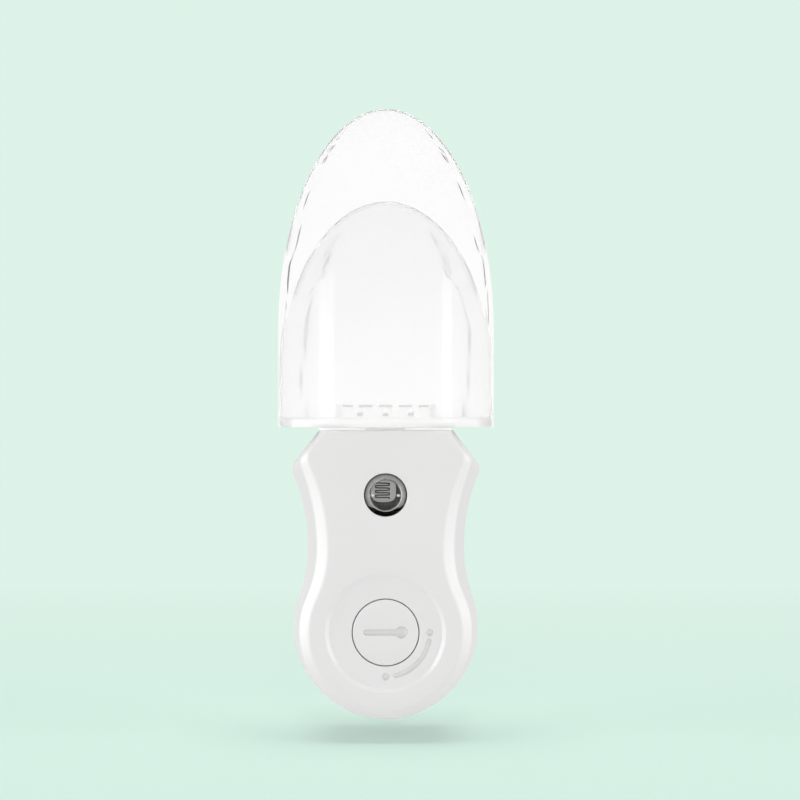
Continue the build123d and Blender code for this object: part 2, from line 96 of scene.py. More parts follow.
class Tree:
    """A node tree, with short ways to add its nodes."""

    def __init__(self, tree):
        self.tree = tree

    def node(self, kind, settings=None, inputs=None, output=0):
        node = self.tree.nodes.new(kind)
        for key, value in (settings or {}).items():
            setattr(node, key, value)
        for key, value in (inputs or {}).items():
            self.feed(node, key, value)
        return Value(self, node.outputs[output])

    def feed(self, node, key, value):
        if isinstance(value, Value):
            self.tree.links.new(value.socket, node.inputs[key])
        elif value is not None:
            node.inputs[key].default_value = value

    def noise(self, where, grain, detail=2.0):
        return self.node(
            "ShaderNodeTexNoise", inputs={"Vector": where, "Scale": 1 / grain, "Detail": detail}
        )

    def blend(self, factor, first, second):
        mix = self.tree.nodes.new("ShaderNodeMix")
        mix.data_type = "RGBA"
        for key, value in (("Factor_Float", factor), ("A_Color", first), ("B_Color", second)):
            socket = next(s for s in mix.inputs if s.identifier == key)
            if isinstance(value, Value):
                self.tree.links.new(value.socket, socket)
            else:
                socket.default_value = value
        return Value(self, next(s for s in mix.outputs if s.identifier == "Result_Color"))

    def bump(self, height, strength, distance):
        return self.node(
            "ShaderNodeBump", inputs={"Strength": strength, "Distance": distance, "Height": height}
        )

    def along(self, where, axis):
        return self.node("ShaderNodeSeparateXYZ", inputs={0: where}, output=axis)

    def spot(self, x=0.0, y=0.0, z=0.0):
        return self.node("ShaderNodeCombineXYZ", inputs={"X": x, "Y": y, "Z": z})

    def row(self, start, step, count):
        return self.node(
            "GeometryNodeMeshLine", {"mode": "OFFSET", "count_mode": "TOTAL"},
            {"Count": count, "Start Location": start, "Offset": step},
        )


def finish(name):
    """A new material: its tree, its shader and where a point lies on the object."""
    material = bpy.data.materials.new(name)
    material.use_nodes = True
    tree = Tree(material.node_tree)
    shader = material.node_tree.nodes["Principled BSDF"]
    where = tree.node("ShaderNodeTexCoord", output="Object")
    return material, tree, shader, where


def tint(color, share=1.0):
    """A colour at a share of its brightness."""
    return (*[channel * share for channel in color], 1.0)


def moulded_plastic(
    name, color, dark_share, roughness, grain=0.12 * mm, depth=0.006 * mm, sunk=None, painted_shade_share=0.93
):
    """Satin moulding with a fine spark-eroded grain and faint clouding; inside a sunk box its colour
    is darker, as painted shade.
    """
    material, tree, shader, where = finish(name)
    cloud = tree.noise(where, 9.0 * mm, 3.0)
    paint = tree.blend(cloud, tint(color, dark_share), tint(color))
    # Painted shade: inside the sunk box the colour is darkened to a share of its brightness.
    if sunk:
        below = 1.0
        for axis, start, end in zip("XYZ", *sunk):
            place = tree.along(where, axis)
            below = (place > start) * (1 - (place > end)) * below
        paint = tree.blend(below, paint, tint(color, painted_shade_share))
    tree.feed(shader, "Base Color", paint)
    tree.feed(shader, "Roughness", roughness + 0.12 * (cloud - 0.5))
    tree.feed(shader, "Normal", tree.bump(tree.noise(where, grain), 0.5, depth))
    tree.feed(shader, "Specular IOR Level", 0.45)
    return material


white_abs = (0.80, 0.80, 0.795)
housing_white = moulded_plastic("housing_white", white_abs, 0.975, 0.42)

# Each rim holds the half widths and heights of the top, the ears and the waist, the belly's radius and
# the depth from the wall.
top_at = 1
depth_at = 7
parting_rim = np.array([11.4, 33.6, 16.35, 27.2, 13.35, 13.9, 15.7, 13.0]) * mm
bevel_rim = parting_rim + np.array([-0.6, 0.0, -1.7, 1.5, -1.85, 0.0, -1.2, 9.6]) * mm
face_rim = bevel_rim + np.array([-0.7, 0.0, -1.2, 0.65, -1.9, 0.0, -1.7, 1.4]) * mm
across = np.array([1.0, 1.0, 1.0, 0.0, 1.0, 0.0, 1.0, 0.0])
cover_wall = 1.8 * mm
body_depth = face_rim[depth_at]
panel_face = body_depth - 0.5 * mm
panel_radius = 9.9 * mm
cap_hole_radius = 5.64 * mm
sensor_z = 22.9 * mm
sensor_hole_radius = 3.6 * mm
mark_radius = 7.37 * mm
dot_radius = 0.58 * mm
edge_round = 0.2 * mm
seam_bevel = 0.25 * mm
seam_round = 0.1 * mm
bevel_round = 0.5 * mm
face_round = 0.4 * mm
flat_margin = 1.2 * mm


def bezier(start, corner, end, count):
    """Points along a rounded corner."""
    steps = np.linspace(0.0, 1.0, count)
    return [(1 - t) ** 2 * start + 2 * t * (1 - t) * corner + t * t * end for t in steps]


def rounded_route(points, radii, count=6):
    """A broken line with each inner corner rounded."""
    route = [points[0]]
    for before, corner, after, radius in zip(points, points[1:], points[2:], radii):
        back = before - corner
        on = after - corner
        start = corner + back * min(0.45, radius / np.abs(back).max())
        end = corner + on * min(0.45, radius / np.abs(on).max())
        route += bezier(start, corner, end, count)
    return route + [points[-1]]


def hourglass(level, ear_round=1.5 * mm, top_round=0.6 * mm):
    """The housing's outline at one level: flat top, shoulders, waist arcs and a round belly."""
    top, top_z, ear, ear_z, waist, waist_z, belly, depth = level
    rise = ear_z - waist_z
    flare = ear - waist
    upper = (flare**2 + rise**2) / (2 * flare)
    lower = (waist**2 + waist_z**2 - belly**2) / (2 * (belly - waist))
    ear_turn = math.asin(rise / upper)
    belly_turn = math.atan2(waist_z, waist + lower)
    corner = np.array([top, top_z])
    tip = np.array([ear, ear_z])
    slope = (corner - tip) / np.linalg.norm(corner - tip)

    def arc(center_x, center_z, radius, start, end, count):
        return [
            np.array([center_x + radius * math.cos(a), center_z + radius * math.sin(a)])
            for a in np.linspace(start, end, count)
        ]

    upper_arc = arc(
        waist + upper, waist_z, upper, math.pi - ear_turn + ear_round / upper, math.pi, 22
    )
    half = [np.array([0.0, top_z]), np.array([top / 2, top_z])]
    half += bezier(corner - np.array([top_round, 0.0]), corner, corner - slope * top_round, 6)
    half += bezier(tip + slope * ear_round, tip, upper_arc[0], 12)
    half += upper_arc[1:]
    half += arc(waist + lower, waist_z, lower, math.pi, math.pi + belly_turn, 22)[1:]
    half += arc(0.0, 0.0, belly, belly_turn, -math.pi / 2, 36)[1:]
    left = [point * np.array([-1.0, 1.0]) for point in half[-2:0:-1]]
    return [Vector((x, -depth, z)) for x, z in half + left]


def around(count):
    """Even angles around a circle."""
    return np.linspace(0.0, 2 * math.pi, count, endpoint=False)


def ring(radius, depth, x=0.0, z=0.0, count=72):
    """A circle facing the front, at a depth from the wall."""
    return [
        Vector((x + radius * math.cos(a), -depth, z + radius * math.sin(a))) for a in around(count)
    ]


def circle(radius, x=0.0, z=0.0, count=72):
    """A circle as a shape for sink, which asks for it at a growth and a depth."""

    def shape(grow, depth):
        return ring(radius + grow, depth, x, z, count)

    return shape


def sweep_arc(grow, depth, start=-11.0, end=-77.0, half_width=0.4 * mm):
    """The scale's arc as a slot with round ends."""
    half = half_width + grow
    first, last = math.radians(start), math.radians(end)
    points = []
    for side, begin, stop, turn in ((1, first, last, 0.0), (-1, last, first, math.pi)):
        reach = mark_radius + side * half
        points += [(reach * math.cos(a), reach * math.sin(a)) for a in np.linspace(begin, stop, 25)]
        cx, cz = mark_radius * math.cos(stop), mark_radius * math.sin(stop)
        for a in stop + np.linspace(turn, turn - math.pi, 9)[1:-1]:
            points.append((cx + half * math.cos(a), cz + half * math.sin(a)))
    return [Vector((x, -depth, z)) for x, z in points]


def lay(mesh, points):
    """A closed loop of vertices."""
    return [mesh.verts.new(point) for point in points]


def join(mesh, loops):
    """Quads between loops of equal counts."""
    for low, high in zip(loops, loops[1:]):
        for place in range(len(low)):
            mesh.faces.new((low[place - 1], low[place], high[place], high[place - 1]))


def fill(mesh, loops):
    """A flat face inside the first loop, with the other loops as holes."""
    edges = []
    for loop in loops:
        for place in range(len(loop)):
            pair = (loop[place - 1], loop[place])
            edges.append(mesh.edges.get(pair) or mesh.edges.new(pair))
    bmesh.ops.triangle_fill(mesh, use_beauty=True, use_dissolve=False, edges=edges)


def sink(mesh, shape, steps, floor=True):
    """A pocket or hole: loops of one shape at (growth, depth) steps; gives back its mouth and end."""
    loops = [lay(mesh, shape(grow, depth)) for grow, depth in steps]
    join(mesh, loops)
    if floor:
        mesh.faces.new(loops[-1])
    return loops[0], loops[-1]


def rounded_mouth(face, rim=edge_round):
    """Steps that roll an edge over from a flat face into a wall."""
    turns = np.linspace(0.0, math.pi / 2, 5)
    return [(rim * (1 - math.sin(a)), face - rim * (1 - math.cos(a))) for a in turns]


def closed(name, mesh):
    """The data of a closed mesh, its faces turned outward."""
    bmesh.ops.recalc_face_normals(mesh, faces=mesh.faces)
    data = bpy.data.meshes.new(name)
    mesh.to_mesh(data)
    mesh.free()
    return data


def settle(name, data, material, body, slot, *nodes):
    """A finished piece: an object at the origin that rides on its body for its CAD nodes."""
    data.shade_smooth()
    if material:
        data.materials.clear()
        data.materials.append(material)
    thing = bpy.data.objects.new(name, data)
    bpy.context.scene.collection.objects.link(thing)
    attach(thing, body)
    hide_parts(*nodes)
    return thing


def piece(name, mesh, *place):
    """A piece from a closed mesh."""
    return settle(name, closed(name, mesh), *place)


shell = bmesh.new()
inner_face = face_rim - across * cover_wall
inner_depth = body_depth - cover_wall
inner_face[depth_at] = inner_depth
inner_bevel = bevel_rim - across * cover_wall
inner_bevel[depth_at] = bevel_rim[depth_at] - cover_wall
seam = parting_rim - across * seam_bevel
seam_top = parting_rim.copy()
seam_top[depth_at] += seam_bevel
flat_rim = face_rim - across * flat_margin
outer_route = rounded_route(
    [seam, seam_top, bevel_rim, face_rim, flat_rim], [seam_round, bevel_round, face_round], 7
)
inner_route = [inner_face, inner_bevel, parting_rim - across * cover_wall]
skin = [lay(shell, hourglass(level)) for level in inner_route + outer_route]
join(shell, skin)
panel_slope = [
    (0.22 * mm, body_depth),
    (0.14 * mm, body_depth - 0.015 * mm),
    (0.06 * mm, body_depth - 0.06 * mm),
    (-0.42 * mm, panel_face + 0.06 * mm),
    (-0.5 * mm, panel_face + 0.015 * mm),
    (-0.58 * mm, panel_face),
]
panel_mouth, panel_floor = sink(shell, circle(panel_radius, count=128), panel_slope, floor=False)
sensor_hole = circle(sensor_hole_radius, z=sensor_z)
sensor_steps = rounded_mouth(body_depth) + [(0.0, inner_depth)]
sensor_mouth, sensor_end = sink(shell, sensor_hole, sensor_steps, floor=False)
fill(shell, [skin[-1], panel_mouth, sensor_mouth])
cap_hole = circle(cap_hole_radius, count=96)
cap_steps = rounded_mouth(panel_face) + [(0.0, inner_depth)]
cap_mouth, cap_end = sink(shell, cap_hole, cap_steps, floor=False)
right_dot = circle(dot_radius, x=mark_radius, count=28)
lower_dot = circle(dot_radius, z=-mark_radius, count=28)
mark_steps = rounded_mouth(panel_face, 0.1 * mm)
mark_steps += [(-0.05 * mm, panel_face - 0.4 * mm), (-0.14 * mm, panel_face - 0.5 * mm)]
dot_steps = mark_steps + [(-0.3 * mm, panel_face - 0.42 * mm)]
mouths = [sink(shell, right_dot, dot_steps)[0], sink(shell, lower_dot, dot_steps)[0]]
mouths.append(sink(shell, sweep_arc, mark_steps)[0])
fill(shell, [panel_floor, cap_mouth] + mouths)
fill(shell, [skin[0], cap_end, sensor_end])
piece("front_cover_shell", shell, housing_white, "housing", "housing_white", "front_cover")


# Rear cover: the other half of the housing, in the same white ABS. Its flat back lies on the wall
# around the round opening for the plug, and two deep wells take the screws that hold the covers.
back_draft = 1.0 * mm
heel_round = 0.7 * mm
plug_sill = 0.3 * mm
back_rim = parting_rim - across * back_draft
back_rim[top_at] = parting_rim[top_at]
back_rim[depth_at] = 0.0
back_flat = back_rim - across * flat_margin
lower_seam = parting_rim.copy()
lower_seam[depth_at] -= seam_bevel
inner_back = back_rim - across * cover_wall
inner_back[depth_at] = cover_wall
turntable_radius = 10.03 * mm
plug_hole_radius = turntable_radius + 0.2 * mm
screw_x = 9.4 * mm
screw_z = 26.3 * mm
well_radius = 2.3 * mm
well_seat = 2.5 * mm


def rounded_sill(face, rim=edge_round):
    """Steps that roll an edge over from the back face into a wall."""
    return [(grow, face + (face - depth)) for grow, depth in rounded_mouth(face, rim)]


shell = bmesh.new()
outer_route = rounded_route([back_flat, back_rim, lower_seam, seam], [heel_round, seam_round], 7)
inner_route = [parting_rim - across * cover_wall, inner_back]
skin = [lay(shell, hourglass(level)) for level in outer_route + inner_route]
join(shell, skin)
plug_hole = circle(plug_hole_radius, count=128)
plug_steps = rounded_sill(0.0, plug_sill) + [(0.0, cover_wall)]
hole_mouth, hole_end = sink(shell, plug_hole, plug_steps, floor=False)
wells = [circle(well_radius, x, screw_z, 40) for x in (-screw_x, screw_x)]
well_steps = rounded_sill(0.0) + [(0.0, well_seat)]
fill(shell, [skin[0], hole_mouth] + [sink(shell, well, well_steps)[0] for well in wells])
fill(shell, [skin[-1], hole_end])
piece("rear_cover_shell", shell, housing_white, "housing", "housing_white", "rear_cover")


# Housing screws: two zinc-plated pan-head screws with a cross recess. They sit deep in the wells of
# the rear cover, pass through the circuit board and bite into posts of the front cover.
def plated(name, color, roughness, metallic=1.0):
    """Plated or bare metal: a fine wipe pattern in its gloss and faint mottling in its colour."""
    material, tree, shader, where = finish(name)
    mottle = tree.noise(where, 2.0 * mm, 3.0)
    tree.feed(shader, "Base Color", tree.blend(mottle, tint(color, 0.9), tint(color)))
    tree.feed(shader, "Roughness", roughness + 0.16 * (tree.noise(where, 0.6 * mm, 4.0) - 0.5))
    tree.feed(shader, "Metallic", metallic)
    return material


def group_tree(name, sizes):
    """A new geometry tree with named inputs for its sizes."""
    tree = bpy.data.node_groups.new(name, "GeometryNodeTree")
    tree.interface.new_socket("Geometry", in_out="INPUT", socket_type="NodeSocketGeometry")
    for size, value in sizes.items():
        socket = tree.interface.new_socket(size, in_out="INPUT", socket_type="NodeSocketFloat")
        socket.default_value = value
    tree.interface.new_socket("Geometry", in_out="OUTPUT", socket_type="NodeSocketGeometry")
    entry = tree.nodes.new("NodeGroupInput")
    wrapped = Tree(tree)
    return wrapped, {size: Value(wrapped, entry.outputs[size]) for size in sizes}


def grow_mesh(name, tree, geometry, material, sizes):
    """Ends a geometry tree, runs it once and gives back its plain mesh."""
    made = tree.node("GeometryNodeRealizeInstances", inputs={"Geometry": geometry})
    made = tree.node("GeometryNodeSetMaterial", inputs={"Geometry": made, "Material": material})
    exit_node = tree.tree.nodes.new("NodeGroupOutput")
    tree.feed(exit_node, "Geometry", made)
    holder = bpy.data.objects.new(name, bpy.data.meshes.new(name))
    bpy.context.scene.collection.objects.link(holder)
    modifier = holder.modifiers.new(name, "NODES")
    modifier.node_group = tree.tree
    for item in tree.tree.interface.items_tree:
        if item.in_out == "INPUT" and item.name in sizes:
            modifier[item.identifier] = sizes[item.name]
    depsgraph = bpy.context.evaluated_depsgraph_get()
    data = bpy.data.meshes.new_from_object(holder.evaluated_get(depsgraph))
    bpy.data.objects.remove(holder)
    return data


def in_row(tree, shape, pitch, depth, height, count):
    """Copies of a shape in a row across the object, as many at the left as at the right."""
    start = tree.spot(pitch * ((1 - count) / 2), 0 - depth, height)
    points = tree.row(start, tree.spot(pitch), count)
    return tree.node("GeometryNodeInstanceOnPoints", inputs={"Points": points, "Instance": shape})


def stamped(name, stencil, material, sizes, count, *place):
    """A piece of equal shapes in a row, through a geometry tree."""
    tree, size = group_tree(name, sizes)
    source = bpy.data.objects.new(name + "_stencil", closed(name + "_stencil", stencil))
    shape = tree.node("GeometryNodeObjectInfo", inputs={"Object": source}, output="Geometry")
    copies = in_row(tree, shape, size["Pitch"], size["Depth"], size["Height"], count)
    made = grow_mesh(name, tree, copies, material, sizes)
    bpy.data.objects.remove(source)
    return settle(name, made, None, *place)


def turned(mesh, route, count=48, x=0.0, z=0.0):
    """Loops of a turned shape along (radius, depth) steps, with its far end closed."""
    loops = [lay(mesh, ring(radius, depth, x, z, count)) for radius, depth in route]
    join(mesh, loops)
    mesh.faces.new(loops[-1])
    return loops


def cross_slot(grow, depth, reach=1.45 * mm, half=0.3 * mm):
    """A plus sign with straight arms."""
    long, short = reach + grow, half + grow
    corner = [(long, -short), (long, short), (short, short)]
    points = []
    for turn in range(4):
        c, s = round(math.cos(turn * math.pi / 2)), round(math.sin(turn * math.pi / 2))
        points += [Vector((c * x - s * z, -depth, s * x + c * z)) for x, z in corner]
    return points


head_depth = 0.9 * mm
head_radius = 2.1 * mm
screw_tip = 16.5 * mm
thread_start = well_seat + 5.0 * mm
thread_pitch = 0.6 * mm
thread_crest = 1.15 * mm
thread_root = 0.9 * mm
thread_turns = 14
screw = bmesh.new()
screw_route = [(1.7 * mm, head_depth), (1.98 * mm, head_depth + 0.12 * mm)]
screw_route += [(head_radius, head_depth + 0.45 * mm), (head_radius, well_seat)]
screw_route += [(thread_crest, well_seat)]
for turn in range(thread_turns):
    low = thread_start + turn * thread_pitch
    screw_route += [(thread_root, low), (thread_crest, low + thread_pitch / 2)]
screw_route += [(thread_root, screw_tip - thread_pitch / 2), (0.5 * mm, screw_tip)]
head = turned(screw, screw_route)[0]
cross_depth = 0.8 * mm
cross_lip = 0.06 * mm
cross_steps = [(cross_lip, head_depth), (0.0, head_depth + cross_lip)]
cross_steps += [(-0.08 * mm, head_depth + cross_depth)]
cross_mouth, _ = sink(screw, cross_slot, cross_steps)
fill(screw, [head, cross_mouth])
zinc = plated("zinc_plate", (0.62, 0.62, 0.60), 0.32)
screw_sizes = {"Pitch": 2 * screw_x, "Depth": 0.0, "Height": screw_z}
stamped(
    "housing_screws", screw, zinc, screw_sizes, 2,
    "housing", "screw_steel", "housing_screw_left", "housing_screw_right",
)


# Plug turntable: a white nylon disc, all but flush with the housing's back. The blades stand in two
# slots, and behind it a flange and a hub turn in the housing and carry the indicator.
blade_x = 6.35 * mm
blade_half_width = 3.175 * mm
blade_half = 0.75 * mm
turntable_back = 0.2 * mm
flange_radius = turntable_radius + 1.6 * mm
flange_back = 2.0 * mm
flange_front = 4.0 * mm
barrel_radius = turntable_radius - 1.8 * mm
barrel_end = 12.2 * mm
spindle_radius = 3.4 * mm
spindle_end = 20.7 * mm
slot_play = 0.08 * mm
slot_lip = 0.25 * mm
slot_end = 7.2 * mm
turntable_nylon = moulded_plastic("turntable_nylon", (0.78, 0.78, 0.765), 0.97, 0.48)


def blade_slot(middle):
    """The slot for one blade, as a shape for sink."""

    def shape(grow, depth):
        wide = blade_half + slot_play + grow
        tall = blade_half_width + slot_play + grow
        corners = [(wide, -tall), (wide, tall), (-wide, tall), (-wide, -tall)]
        return [Vector((middle + x, -depth, z)) for x, z in corners]

    return shape


hub = bmesh.new()
hub_route = [(turntable_radius - 0.3 * mm, turntable_back), (turntable_radius - 0.08 * mm, 0.29 * mm)]
hub_route += [(turntable_radius, 0.5 * mm), (turntable_radius, flange_back)]
hub_route += [(flange_radius, flange_back), (flange_radius, flange_front)]
hub_route += [(barrel_radius, flange_front), (barrel_radius, barrel_end)]
hub_route += [(spindle_radius, barrel_end), (spindle_radius, spindle_end)]
hub_back = turned(hub, hub_route, 128)[0]
slot_steps = [(slot_lip, turntable_back), (0.0, turntable_back + slot_lip), (0.0, slot_end)]
slots = [sink(hub, blade_slot(x), slot_steps)[0] for x in (-blade_x, blade_x)]
fill(hub, [hub_back] + slots)
piece("turntable_hub", hub, turntable_nylon, "plug", "plug_insulator", "plug_turntable")


# Plug blades: two flat nickel-plated brass blades with chamfered tips and a round detent hole.
# Each stands in a slot of the turntable.
blade_tip = 17.0 * mm
blade_root = -7.1 * mm
blade_hole_y = 11.8 * mm
blade_hole_radius = 1.6 * mm
blade_corner = 0.9 * mm
blade_edge = 0.12 * mm
nickel = plated("nickel_plate", (0.75, 0.73, 0.69), 0.24)


def blade_outline(x, inset, tip_inset):
    """The blade's side view, with its tip corners rounded."""
    tall = blade_half_width - inset
    tip = blade_tip - tip_inset
    low, high = np.array([tip, -tall]), np.array([tip, tall])
    along, up = np.array([blade_corner, 0.0]), np.array([0.0, blade_corner])
    points = [np.array([blade_root, -tall])] + bezier(low - along, low, low + up, 7)
    points += bezier(high - up, high, high - along, 7) + [np.array([blade_root, tall])]
    return [Vector((x, y, z)) for y, z in points]


def blade_eye(x, grow):
    turns = around(40)
    radius = blade_hole_radius + grow
    return [Vector((x, blade_hole_y + radius * math.cos(a), radius * math.sin(a))) for a in turns]


flat = bmesh.new()
edges = [(-blade_half, blade_edge, 0.45 * mm), (-blade_half + blade_edge, 0.0, 0.1 * mm)]
edges += [(-blade_half + 0.3 * mm, 0.0, 0.0)]
edges += [(-x, inset, tip_inset) for x, inset, tip_inset in reversed(edges)]
sides = [lay(flat, blade_outline(*edge)) for edge in edges]
eyes = [lay(flat, blade_eye(x, inset)) for x, inset, _ in edges]
join(flat, sides)
join(flat, eyes)
for end in (0, -1):
    fill(flat, [sides[end], eyes[end]])
blade_sizes = {"Pitch": 2 * blade_x, "Depth": 0.0, "Height": 0.0}
stamped(
    "plug_blades", flat, nickel, blade_sizes, 2,
    "plug", "blade_nickel", "live_blade", "neutral_blade",
)


# Indicator cap: a flush white disc on the end of the plug's spindle. A pointer with a round eye is
# sunk into it, which shows which way the blades stand behind.
cap_radius = 5.49 * mm
cap_collar = 1.06 * mm
cap_collar_depth = 22.0 * mm
cap_back_depth = 20.8 * mm
cap_bore = 3.5 * mm
pointer_tail = -3.7 * mm
pointer_half = 0.5 * mm
eye_x = 2.65 * mm
eye_radius = 1.0 * mm


def pointer(grow, depth):
    """A keyhole: a slot with a round end that runs into a round eye."""
    half = pointer_half + grow
    eye = eye_radius + grow
    opening = math.asin(half / eye)
    points = []
    for a in np.linspace(math.pi / 2, 3 * math.pi / 2, 13):
        points.append((pointer_tail + pointer_half + half * math.cos(a), half * math.sin(a)))
    for a in np.linspace(opening - math.pi, math.pi - opening, 33):
        points.append((eye_x + eye * math.cos(a), eye * math.sin(a)))
    return [Vector((x, -depth, z)) for x, z in points]


disc = bmesh.new()
cap_route = [(cap_bore - cap_radius, cap_back_depth), (cap_collar, cap_back_depth)]
cap_route += [(cap_collar, cap_collar_depth), (0.0, cap_collar_depth)]
cap_route += [(-grow, depth) for grow, depth in reversed(rounded_mouth(panel_face, 0.22 * mm))]
cap_loops = [lay(disc, ring(cap_radius + grow, depth, count=96)) for grow, depth in cap_route]
join(disc, cap_loops)
disc.faces.new(cap_loops[0])
pointer_steps = rounded_mouth(panel_face, 0.12 * mm)
pointer_steps += [(-0.06 * mm, panel_face - 0.55 * mm), (-0.14 * mm, panel_face - 0.65 * mm)]
pointer_mouth, _ = sink(disc, pointer, pointer_steps)
fill(disc, [cap_loops[-1], pointer_mouth])
# Painted shade: the pointer's groove is coloured darker than the face of the cap.
pointer_shade_box = ((-1.0, 0.3 * mm - panel_face, -1.0), (1.0, 1.0, 1.0))
cap_white = moulded_plastic("cap_white", white_abs, 0.975, 0.42, sunk=pointer_shade_box)
piece("indicator_disc", disc, cap_white, "plug", "indicator_white", "indicator_cap")


# Contacts and carrier: inside the housing two sprung brass tracks lie in an insulating ring around
# the hub, and a finger of each blade slides along one of them.
nodes = frame["nodes"]


def dress(material, *names):
    """Gives CAD nodes that stay as they are a finish of their own."""
    for name in names:
        nodes[name].data.materials.clear()
        nodes[name].data.materials.append(material)


dress(plated("track_brass", (0.80, 0.62, 0.30), 0.26), "live_contact_track", "neutral_contact_track")
dress(turntable_nylon, "contact_carrier")


# Circuit board: a phenolic board clamped between the screw posts. It carries the dropper capacitor,
# a smoothing can, four diodes, two resistors and the switch for the lamps.
def banded(name, color, bands, roughness):
    """Lacquered body with painted bands across X; each band is (middle, half width, colour)."""
    material, tree, shader, where = finish(name)
    x = tree.along(where, "X")
    paint = tree.blend(tree.noise(where, 1.0 * mm), tint(color, 0.9), tint(color))
    for middle, half, band in bands:
        off = (x - middle).apply("ABSOLUTE") > half
        paint = tree.blend(1 - off, paint, tint(band))
    tree.feed(shader, "Base Color", paint)
    tree.feed(shader, "Roughness", roughness)
    return material


dress(moulded_plastic("board_phenolic", (0.55, 0.42, 0.20), 0.85, 0.55, 0.4 * mm), "circuit_board")
dress(moulded_plastic("film_red", (0.75, 0.20, 0.08), 0.95, 0.35), "film_capacitor")
dress(moulded_plastic("switch_black", (0.04, 0.04, 0.04), 0.8, 0.45), "switching_transistor")
can_stripe = [(-7.9 * mm, 0.6 * mm, (0.7, 0.72, 0.75))]
dress(banded("can_sleeve", (0.05, 0.06, 0.10), can_stripe, 0.3), "smoothing_capacitor")
diode_band = [(5.9 * mm, 0.3 * mm, (0.03, 0.03, 0.03))]
diodes = [f"rectifier_diode_{row}" for row in (1, 2, 3, 4)]
dress(banded("diode_glass", (0.70, 0.30, 0.15), diode_band, 0.15), *diodes)
band_places = [-1.9 * mm, -0.9 * mm, 0.1 * mm, 1.9 * mm]
band_colors = [(0.25, 0.09, 0.03), (0.02, 0.02, 0.02), (0.6, 0.03, 0.02), (0.7, 0.5, 0.15)]
code = [(place, 0.25 * mm, color) for place, color in zip(band_places, band_colors)]
resistor_lacquer = banded("resistor_lacquer", (0.75, 0.65, 0.45), code, 0.3)
dress(resistor_lacquer, "series_resistor", "bleed_resistor")


# Wires: four wires in red and black PVC. Two run from the contact tracks to the circuit board and two
# from there up to the lamps.
live_red = moulded_plastic("live_red", (0.60, 0.05, 0.04), 0.9, 0.35)
neutral_black = moulded_plastic("neutral_black", (0.05, 0.05, 0.06), 0.8, 0.35)
dress(live_red, "live_supply_wire", "lamp_wire_right")
dress(neutral_black, "neutral_supply_wire", "lamp_wire_left")


# Photocell: a pale ceramic button with a sloping rim, and sunk in it a grey wafer with a dark meander
# between two electrodes, under a clear domed cast.
sensor_face = body_depth - 0.5 * mm
sensor_back = sensor_face - 2.1 * mm
cup_radius = 3.5 * mm
lip_radius = 2.7 * mm
well_edge = lip_radius - 0.13 * mm
well_floor = sensor_face - 0.3 * mm
wafer_face = sensor_face - 0.16 * mm
lead_x = 1.7 * mm
lead_radius = 0.3 * mm
lead_end = 9.8 * mm
sensor_place = ("housing", "sensor_resin", "photocell")


def pile(mesh, rings):
    """A closed form through rings of equal counts, with a face at both ends."""
    loops = [lay(mesh, points) for points in rings]
    join(mesh, loops)
    mesh.faces.new(loops[0])
    mesh.faces.new(loops[-1])


def cup_ring(radius, depth):
    """A circle about the sensor's axis, cut away below as far as the lip."""
    points = []
    for a in around(96):
        below = max(0.0, min(1.0, (-math.sin(a) - 0.4) / 0.5))
        kept = 1 - below**2 * (3 - 2 * below)
        reach = min(radius, lip_radius + 0.1 * mm + (radius - lip_radius) * kept)
        points.append(Vector((reach * math.cos(a), -depth, sensor_z + reach * math.sin(a))))
    return points


def wafer_ring(inset, depth, half_x=2.0 * mm, half_z=1.75 * mm, x=-0.3 * mm, z=0.6 * mm):
    """A well-rounded square, a little above and left of the sensor's middle."""
    points = []
    for a in around(64):
        c, s = math.cos(a), math.sin(a)
        reach = (abs(c) ** 3 + abs(s) ** 3) ** (-1 / 3)
        points.append((x + (half_x - inset) * c * reach, z + (half_z - inset) * s * reach))
    return [Vector((px, -depth, pz + sensor_z)) for px, pz in points]


def cup_ceramic(name):
    """Pale ceramic with a brighter lip and a dark floor inside it."""
    material, tree, shader, where = finish(name)
    x = tree.along(where, "X")
    z = tree.along(where, "Z")
    radius = (x**2 + (z - sensor_z) ** 2).apply("SQRT")
    grain = tree.noise(where, 0.5 * mm, 3.0)
    rim = tree.blend(grain, (0.22, 0.22, 0.22, 1.0), (0.55, 0.55, 0.54, 1.0))
    # The lip goes between dark and light in random patches.
    lip_patches = (tree.noise(where, 1.6 * mm) * 3 - 1).least(1.0).most(0.0)
    lip = tree.blend(lip_patches, (0.10, 0.10, 0.10, 1.0), (0.60, 0.60, 0.59, 1.0))
    outer = tree.blend(radius > lip_radius + 0.06 * mm, lip, rim)
    tree.feed(shader, "Base Color", tree.blend(radius > well_edge, (0.012, 0.012, 0.012, 1.0), outer))
    tree.feed(shader, "Roughness", 0.4)
    return material


cup = bmesh.new()
cup_route = [(3.3 * mm, sensor_back), (cup_radius, sensor_back + 0.2 * mm)]
cup_route += [(cup_radius, sensor_face - 0.75 * mm), (3.36 * mm, sensor_face - 0.4 * mm)]
cup_route += [(3.1 * mm, sensor_face - 0.12 * mm), (lip_radius + 0.1 * mm, sensor_face)]
cup_route += [(lip_radius, sensor_face + 0.08 * mm), (lip_radius - 0.1 * mm, sensor_face + 0.08 * mm)]
cup_route += [(well_edge - 0.02 * mm, well_floor), (1.0 * mm, well_floor)]
pile(cup, [cup_ring(radius, depth) for radius, depth in cup_route])
lead_depths = (lead_end, sensor_back + 0.05 * mm)
for x in (-lead_x, lead_x):
    pile(cup, [ring(lead_radius, depth, x, sensor_z, 16) for depth in lead_depths])
piece("photocell_cup", cup, cup_ceramic("cup_ceramic"), *sensor_place)

